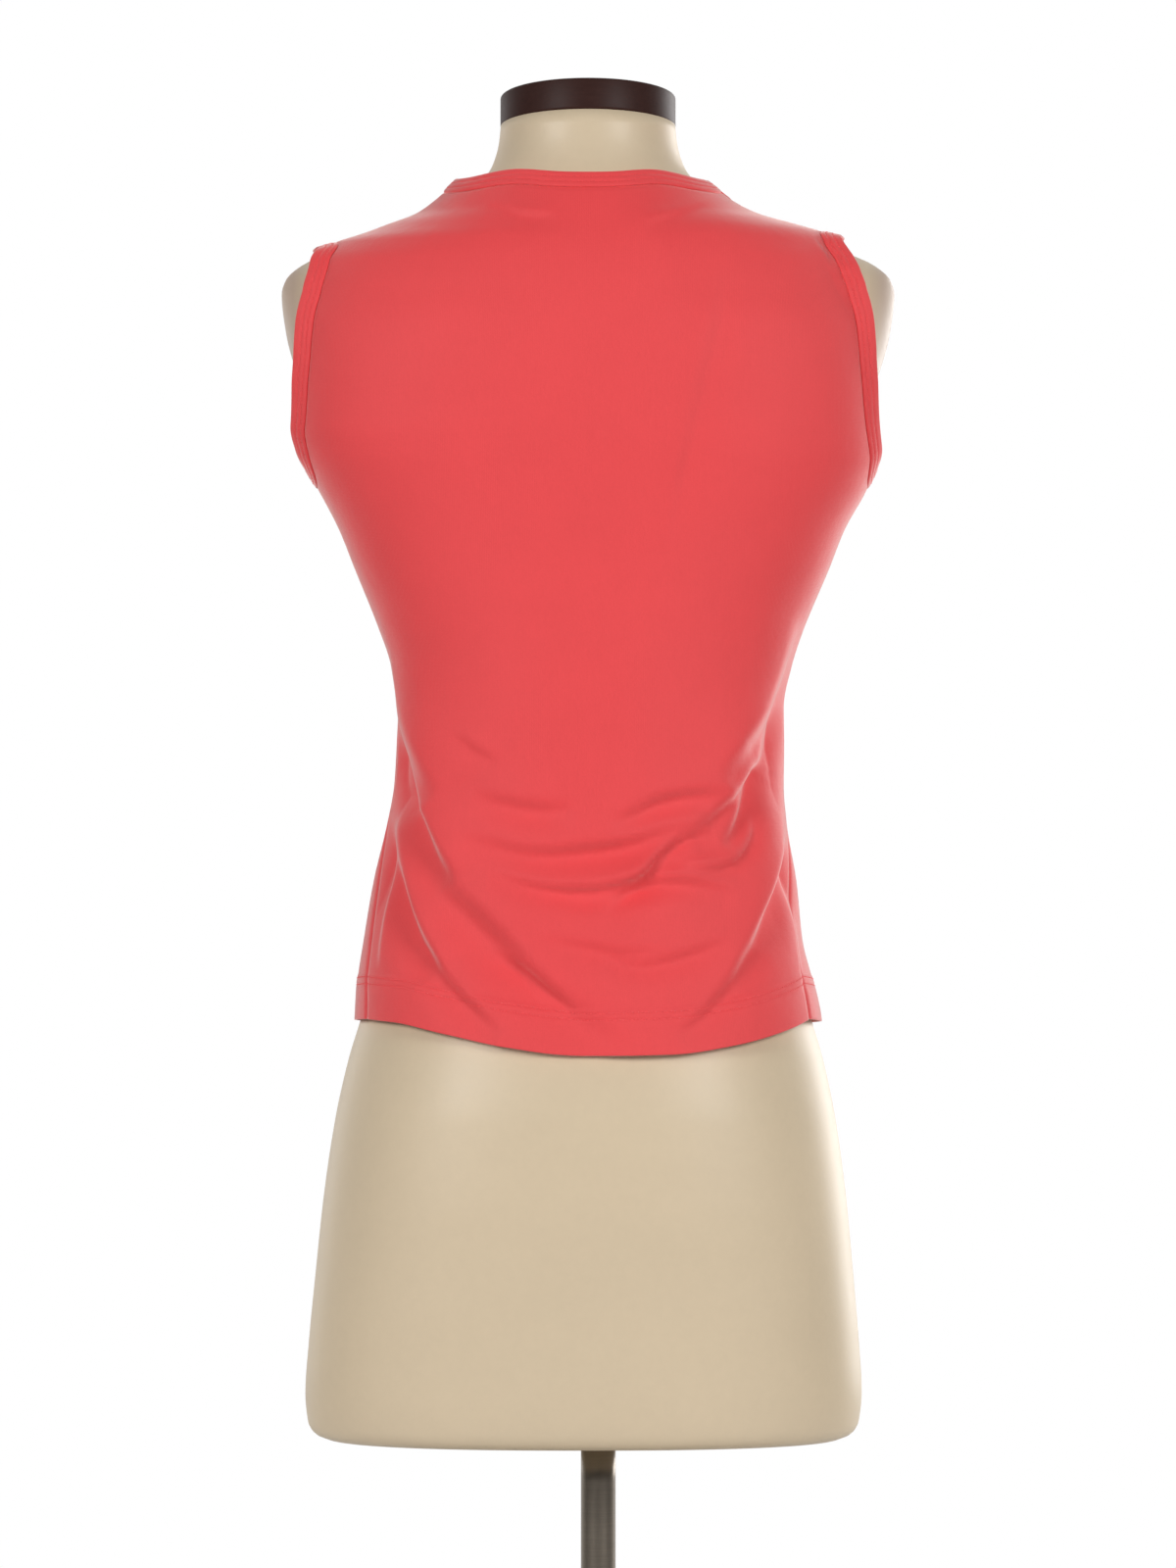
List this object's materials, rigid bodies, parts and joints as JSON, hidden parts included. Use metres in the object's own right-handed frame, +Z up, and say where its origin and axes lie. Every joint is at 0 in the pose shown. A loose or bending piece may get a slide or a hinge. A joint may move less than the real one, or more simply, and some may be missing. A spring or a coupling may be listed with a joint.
{
  "type": "tank top on dress form",
  "caption": "A sleeveless jersey top with bound edges and a wide hem, worn by a limbless dress form on a pole and round base, with slack diagonal folds over the seat.",
  "frame": {"origin": "centre of the underside of the stand's base, under the pole", "axes": "+Z up, the wearer faces -Y, the wearer's left is +X"},
  "size_m": [0.406, 0.406, 1.1637],
  "materials": {
    "jersey": "fine cotton jersey, matt with a pale bloom at grazing angles",
    "form_shell": "cream satin lacquer",
    "cap": "dark brown satin",
    "steel": "brushed"
  },
  "bodies": {
    "root": {"back_panel": "jersey", "front_panel": "jersey", "neck_binding": "jersey", "left_armhole_binding": "jersey", "right_armhole_binding": "jersey", "dress_form": "form_shell", "neck_cap": "cap", "stand_pole": "steel", "stand_base": "steel"}
  },
  "joints": []
}
